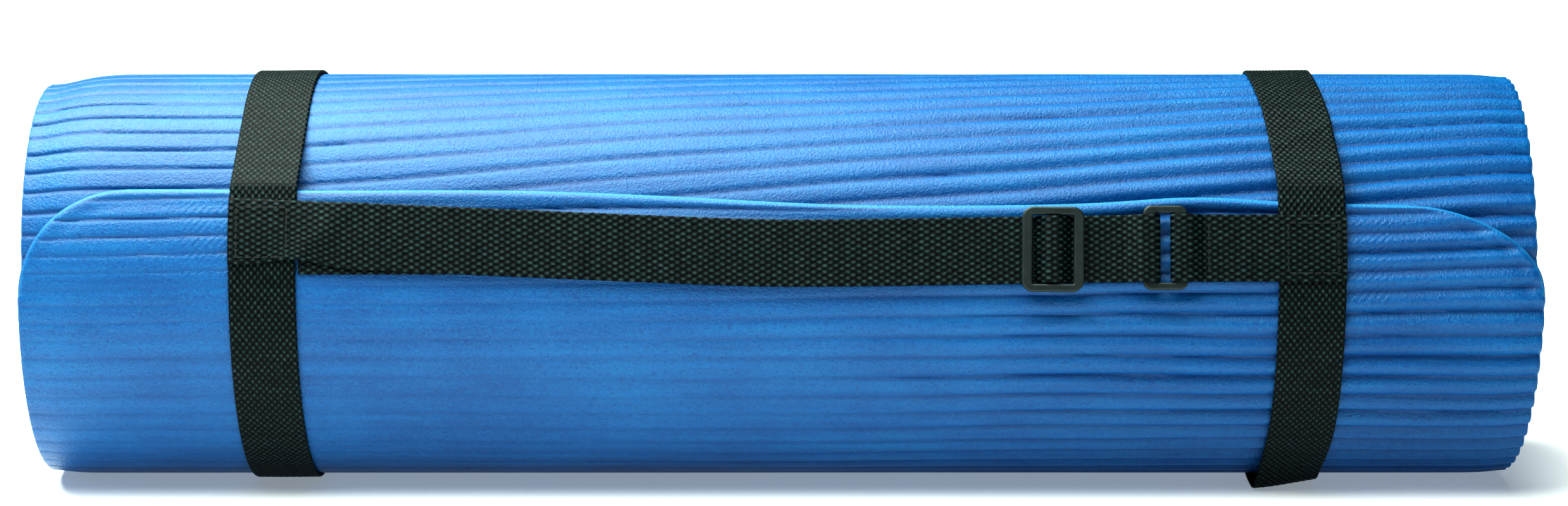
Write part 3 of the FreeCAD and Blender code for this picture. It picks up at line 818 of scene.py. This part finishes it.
def make_webbing(name, material, weave, route, place, phase=0.0, closed=False):
    """Webbing along a route.

    weave is the size of a cell of its weave, along and across. route is a line of points in the
    plane of its thickness. place turns the line, its normal, the place across and the height
    off the line into points in millimetres. phase is where the weave starts.
    """
    if closed:
        route = np.vstack([route, route[:1]])
    lengths = np.concatenate([[0], np.cumsum(np.linalg.norm(np.diff(route, axis=0), axis=1))])
    total = lengths[-1]
    cells = round(total / weave[0]) if closed else total / weave[0]
    count = max(2, int(round(cells * ROWS_PER_CELL)))
    along = np.linspace(0, total, count, endpoint=not closed)
    line = np.stack([np.interp(along, lengths, route[:, i]) for i in (0, 1)], axis=1)
    if closed:
        tangent = np.roll(line, -1, axis=0) - np.roll(line, 1, axis=0)
    else:
        tangent = np.gradient(line, axis=0)
    tangent /= np.linalg.norm(tangent, axis=1)[:, None]
    normal = np.stack([-tangent[:, 1], tangent[:, 0]], axis=1)

    across, height, share = web_profile(weave[1] / COLUMNS_PER_CELL).T
    u = (along / total * cells + phase / weave[0])[:, None]
    v = across[None] / weave[1]
    grain = np.cos(2 * np.pi * u) * np.cos(2 * np.pi * v)
    height = height[None] * (1 + WEAVE_LIFT / (WEB_THICK / 2) * grain * share)
    selvedge = SELVEDGE_WAVE * np.cos(4 * np.pi * u) * (np.abs(across) > WEB_HALF - 1)
    spread = across[None] + np.sign(across) * selvedge

    points = place(line, normal, along, spread, height)
    lay = np.stack([u + 0 * v, v + 0 * u], axis=-1).reshape(-1, 2)
    faces = tube_faces(count, len(across), closed)
    return make_piece(name, points.reshape(-1, 3), faces, [material], {"weave": lay}, sharp=80.0)


# ---------------------------------------------------------------- loops round the roll

# Creases of the slack loop: place in degrees above the front, slant for each millimetre across,
# width in degrees and height.
CREASES = [(36.0, 0.20, 3.0, 0.6), (62.0, -0.16, 3.5, 0.5), (51.0, 0.45, 2.5, 0.4)]
RIPPLE = 0.12

# Where the slack loop strays to the left: place and width in degrees, and how far.
STRAYS = [(88.0, 26.0, 3.2), (-72.0, 20.0, 2.4)]

# The slack loop's foot hangs clear of the foam, its left edge forward and its right edge up.
HANG_ANGLE, HANG_WIDTH = -68.0, 14.0
HANG_FORWARD, HANG_UP = 3.0, 3.6

# Gap between the foam's underside and the webbing below it.
GROUND_GAP = 0.3


def arc_points(centre, radius, start, end, step=1.0):
    """Points on an arc in the roll's section, about step degrees apart."""
    count = max(3, int(abs(end - start) / step) + 1)
    return np.asarray(centre) + section_direction(np.linspace(start, end, count)) * radius


def loop_route(slack):
    """The middle line of a loop's webbing in the roll's section, made as in the CAD part."""
    second = OUTER_RADIUS - HALF_PITCH
    flap_edge = section_direction(FLAP_ANGLE) * OUTER_RADIUS
    leave = FLAP_ANGLE + math.degrees(math.acos(second / (OUTER_RADIUS + HALF_PITCH)))
    out = BAND_HEIGHT
    rest = math.degrees(math.asin((REST_HEIGHT + out) / (OUTER_RADIUS + out)))
    parts = [arc_points(flap_edge, out, leave, FLAP_ANGLE, 8)]
    if slack:
        run = section_direction(SLACK_ANGLE)
        fold_z = -(REST_HEIGHT - SLACK_RADIUS)
        fold_y = (run[1] * fold_z - (OUTER_RADIUS - SLACK_RADIUS)) / -run[0]
        parts.append(arc_points((0, 0), OUTER_RADIUS + out, FLAP_ANGLE, SLACK_ANGLE))
        parts.append(arc_points((fold_y, fold_z), SLACK_RADIUS + out, SLACK_ANGLE, -90, 5))
    else:
        parts.append(arc_points((0, 0), OUTER_RADIUS + out, FLAP_ANGLE, -rest))
    parts.append(arc_points((0, 0), OUTER_RADIUS + out, rest - 180, FLAP_ANGLE - 180))
    parts.append(arc_points(TURN_CENTRES[1], second + out, FLAP_ANGLE - 180, leave - 360))
    return np.vstack(parts)


def make_band(name, node, body, x, slack, material):
    """A loop of webbing. The slack one is creased where it leaves the flap and sags at the foot."""

    def place(line, normal, along, across, height):
        # the route runs down the front, so its own normal points into the roll
        out = -normal
        angle = np.degrees(np.arctan2(line[:, 1], -line[:, 0]))[:, None]
        extra = RIPPLE * np.sin(angle / 17.0 + across / 9.0)
        shift = 0.0
        if slack:
            extra = extra + sum(high * bump_at(angle, at + across * slant, wide)
                                for at, slant, wide, high in CREASES)
            shift = -sum(far * bump_at(angle, at, wide) for at, wide, far in STRAYS)
        lift = height + np.maximum(extra, -0.1)
        y = line[:, None, 0] + out[:, None, 0] * lift
        z = line[:, None, 1] + out[:, None, 1] * lift
        if slack:
            hang = bump_at(angle, HANG_ANGLE, HANG_WIDTH)
            y = y - HANG_FORWARD * hang * (0.5 - across / (2 * WEB_HALF))
            z = z + HANG_UP * hang * (0.5 + across / (2 * WEB_HALF))
        ground = -(REST_HEIGHT + WEB_THICK + GROUND_GAP)
        z = np.maximum(z, ground + WEB_THICK / 2 + height)
        return np.stack([x + across + shift, y + AXIS_Y, z + AXIS_Z], axis=-1)

    band = make_webbing(name, material, BAND_WEAVE, loop_route(slack), place, closed=True)
    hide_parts(node)
    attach(band, body)


# ---------------------------------------------------------------- straps along the front

FRONT_OUT = np.array([0.0, *section_direction(STRAP_ANGLE)])
FRONT_UP = np.array([0.0, math.sin(math.radians(STRAP_ANGLE)), math.cos(math.radians(STRAP_ANGLE))])


def front_point(x, height, rise):
    """A point in front of the roll: along it, above the foam, and up the strap's flat plane."""
    base = np.array([0, AXIS_Y, AXIS_Z])
    return (
        base
        + np.asarray(x)[..., None] * np.array([1.0, 0, 0])
        + (OUTER_RADIUS + np.asarray(height))[..., None] * FRONT_OUT
        + np.asarray(rise)[..., None] * FRONT_UP
    )


def strap_rise(x):
    """Height of the carry strap's middle line: two straight slopes, rounded where they meet."""
    left = STRAP_LEFT_RISE + (SAG_RISE - STRAP_LEFT_RISE) * (x - LEFT_X) / (SAG_X - LEFT_X)
    right = SAG_RISE * (1 - (x - SAG_X) / (RING_X - SAG_X))
    return (left + right) / 2 + np.sqrt(((left - right) / 2) ** 2 + SAG_ROUNDING)


LEAST_WRAP = 0.12


def strap_wrap(x):
    """How closely the strap's section follows the roll: fully where it is sewn on a loop."""
    at_left = smoothstep(LEFT_X + 60, LEFT_X + 10, x)
    at_right = smoothstep(RIGHT_X - 34, RIGHT_X - 14, x)
    return np.maximum(np.maximum(at_left, at_right), LEAST_WRAP)


# Soft folds over the carry strap's run: place, height, width and slant of each.
FOLDS = [(-182.0, 0.9, 7.0, 0.8), (-160.0, 0.5, 5.0, -0.5), (-78.0, 0.35, 3.0, 0.15),
         (-1.0, 0.07, 4.0, 0.2), (61.0, 0.05, 6.0, 0.1)]


def strap_folds(x, across):
    """How far the carry strap's run stands out in its folds."""
    return sum(high * bump_at(x - slant * across, at, wide) for at, high, wide, slant in FOLDS)


def front_place(rise, pinch=None, folds=None):
    """The place function of webbing whose route lies in the plane of x and height.

    rise gives the height of its middle line, pinch the share of its width that is left, and folds
    how far it stands out, each at a place along the roll.
    """

    def place(line, normal, along, across, height):
        x = line[:, None, 0] + normal[:, None, 0] * height
        lift = line[:, None, 1] + normal[:, None, 1] * height
        spread = across if pinch is None else across * pinch(x, across)
        up = rise(x) + spread
        lift = lift - strap_wrap(x) * up ** 2 / (2 * OUTER_RADIUS)
        if folds is not None:
            lift = lift + np.maximum(folds(x, across), 0)
        return front_point(x, lift, up)

    return place


def bent_route(corners, radii):
    """A line of straight runs with an arc at each inner corner."""
    points = [np.array(corners[0], float)]
    for before, corner, after, radius in zip(corners, corners[1:], corners[2:], radii):
        before, corner, after = (np.array(p, float) for p in (before, corner, after))
        to = (corner - before) / np.linalg.norm(corner - before)
        on = (after - corner) / np.linalg.norm(after - corner)
        turn = math.acos(np.clip(to @ on, -1, 1))
        reach = radius * math.tan(turn / 2)
        start = corner - to * reach
        sign = 1 if to[0] * on[1] - to[1] * on[0] > 0 else -1
        side = np.array([-to[1], to[0]]) * sign
        centre = start + side * radius
        for share in np.linspace(0, 1, 12):
            a = turn * share
            points.append(centre - side * radius * math.cos(a) + to * radius * math.sin(a))
    points.append(np.array(corners[-1], float))
    return np.array(points)


PINCH = 0.22
PINCH_WIDTH = 13.0


def pinch_at_joint(x, across):
    """Beside the left loop the strap's lower edge is drawn up."""
    return 1 - PINCH * bump_at(x, TAIL_END_X - 1, PINCH_WIDTH) * (across < 0)


def tail_rise(x):
    """The tail hangs a little lower than the strap in front of it, near its end."""
    strap = strap_rise(x)
    near_end = smoothstep(-60, -110, x)
    return np.minimum(strap, TAIL_HIGHEST) * near_end + strap * (1 - near_end)


# Clearance between the two layers of the strap over the slider's middle bar.
LAYER_GAP = 0.05


def make_strap_pieces(material):
    """The carry strap: its run, its tail behind it, its fold round the ring and its two humps."""
    ring_low = RING_X - RING_HALF
    turn_x = RING_X - RING_WINDOW_HALF + BAR_CLEAR + WEB_THICK / 2

    run_line = [(STRAP_LEFT_X, SECOND_LAYER), (BEND_X, SECOND_LAYER)]
    run = make_webbing("strap_run", material, STRAP_WEAVE, np.array(run_line, float),
                       front_place(strap_rise, pinch_at_joint, strap_folds),
                       phase=STRAP_LEFT_X)
    tail_line = [(TAIL_END_X, FIRST_LAYER), (BEND_X, FIRST_LAYER)]
    tail = make_webbing("strap_tail", material, STRAP_WEAVE, np.array(tail_line, float),
                        front_place(tail_rise), phase=TAIL_END_X + 0.6)
    for piece in (run, tail):
        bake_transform(piece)

    fold_line = bent_route(
        [
            (BEND_X, SECOND_LAYER),
            (ring_low - STRAP_RAMP_FOOT, SECOND_LAYER),
            (ring_low - RING_RAMP_TOP, OVER_RING),
            (turn_x, OVER_RING),
            (turn_x, FIRST_LAYER),
            (BEND_X, FIRST_LAYER),
        ],
        [STRAP_RAMP_BEND, RAMP_BEND, FOLD_BEND, FOLD_BEND],
    )
    fold = make_webbing("strap_fold", material, STRAP_WEAVE, fold_line,
                        front_place(strap_rise), phase=BEND_X)
    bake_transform(fold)

    for name, above in (("strap_over_bar", WEB_THICK + LAYER_GAP), ("tail_over_bar", 0.0)):
        top = OVER_BAR + above
        low = HUMP_LOW + above / 2
        side = HUMP_SIDE + above * 0.3
        hump_line = bent_route(
            [
                (SLIDER_X - HUMP_END, low),
                (SLIDER_X - HUMP_FOOT, low),
                (SLIDER_X - side, top),
                (SLIDER_X + side, top),
                (SLIDER_X + HUMP_FOOT, low),
                (SLIDER_X + HUMP_END, low),
            ],
            [HUMP_BEND] * 4,
        )
        hump = make_webbing(name, material, STRAP_WEAVE, hump_line,
                            front_place(strap_rise), phase=SLIDER_X)
        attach(hump, "slider")
    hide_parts("carry_strap")


def make_tab_piece(material):
    """The short strap that holds the ring: sewn on the right loop and folded round its bar."""
    ring_high = RING_X + RING_HALF
    turn_x = RING_X + RING_WINDOW_HALF - BAR_CLEAR - WEB_THICK / 2
    line = bent_route(
        [
            (RIGHT_X + WEB_HALF, SECOND_LAYER),
            (ring_high + TAB_RAMP_FOOT, SECOND_LAYER),
            (ring_high + RING_RAMP_TOP, OVER_RING),
            (turn_x, OVER_RING),
            (turn_x, FIRST_LAYER),
            (TAB_BACK_END, FIRST_LAYER),
        ],
        [RAMP_BEND, RAMP_BEND, FOLD_BEND, FOLD_BEND],
    )
    # the line runs to the left, so it is taken backwards to turn the webbing's face outward
    tab = make_webbing("tab_webbing", material, STRAP_WEAVE, line[::-1],
                       front_place(np.zeros_like), phase=1.3)
    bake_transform(tab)
    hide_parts("tab_strap")


# ---------------------------------------------------------------- stage and light


# In metres, as the light's places are.
FLOOR_HALF = 9.0
SOFTBOX_PLACE, SOFTBOX_AIM = (-0.45, -0.10, 1.3), (-0.1, 0, 0.1)
SOFTBOX_SIZE = (2.2, 1.3)
SOFTBOX_COLOUR = (0.95, 1.0, 0.88)
SOFTBOX_WATTS = 106.0
ROOM_COLOUR = (0.97, 0.985, 1.0, 1.0)
ROOM_STRENGTH = 0.04


def make_stage(material):
    """A plain pale floor under the roll."""
    mesh = bpy.data.meshes.new("floor")
    corners = [(x * FLOOR_HALF, y * FLOOR_HALF, 0) for x, y in ((-1, -1), (1, -1), (1, 1), (-1, 1))]
    mesh.from_pydata(corners, [], [(0, 1, 2, 3)])
    mesh.materials.append(material)
    floor = bpy.data.objects.new("floor", mesh)
    bpy.context.scene.collection.objects.link(floor)


def make_light():
    """One large softbox above and a little in front; the floor lights the roll's front."""
    world = bpy.data.worlds.new("studio")
    world.use_nodes = True
    background = world.node_tree.nodes["Background"]
    background.inputs["Color"].default_value = ROOM_COLOUR
    background.inputs["Strength"].default_value = ROOM_STRENGTH
    bpy.context.scene.world = world
    light = bpy.data.lights.new("top_softbox", "AREA")
    light.shape = "RECTANGLE"
    light.size, light.size_y = SOFTBOX_SIZE
    light.color = SOFTBOX_COLOUR
    light.energy = SOFTBOX_WATTS
    lamp = bpy.data.objects.new("top_softbox", light)
    lamp.location = SOFTBOX_PLACE
    aim = Vector(SOFTBOX_AIM) - Vector(SOFTBOX_PLACE)
    lamp.rotation_euler = aim.to_track_quat("-Z", "Y").to_euler()
    bpy.context.scene.collection.objects.link(lamp)
    bpy.context.scene.view_settings.view_transform = "Standard"
    bpy.context.scene.view_settings.look = "High Contrast"


# ---------------------------------------------------------------- the whole

make_camera()
foam = foam_skin()
band_web = webbing("band_webbing", BAND_DARK, BAND_LIGHT)
strap_web = webbing("strap_webbing", STRAP_DARK, STRAP_LIGHT)
plastic = moulded_plastic()
thread = sewing_thread()
make_foam_pad(foam, foam_cut())
make_band("band_left_webbing", "band_left", "left_loop", LEFT_X, False, band_web)
make_band("band_right_webbing", "band_right", "right_loop", RIGHT_X, True, band_web)
make_strap_pieces(strap_web)
make_tab_piece(strap_web)
for node, material in (("tri_glide", plastic), ("strap_ring", plastic),
                       ("stitches_left_joint", thread), ("stitches_right_joint", thread),
                       ("stitches_tab_seam", thread)):
    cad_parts[node].data.materials.clear()
    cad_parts[node].data.materials.append(material)
make_stage(floor_material())
make_light()

bpy.context.view_layer.update()
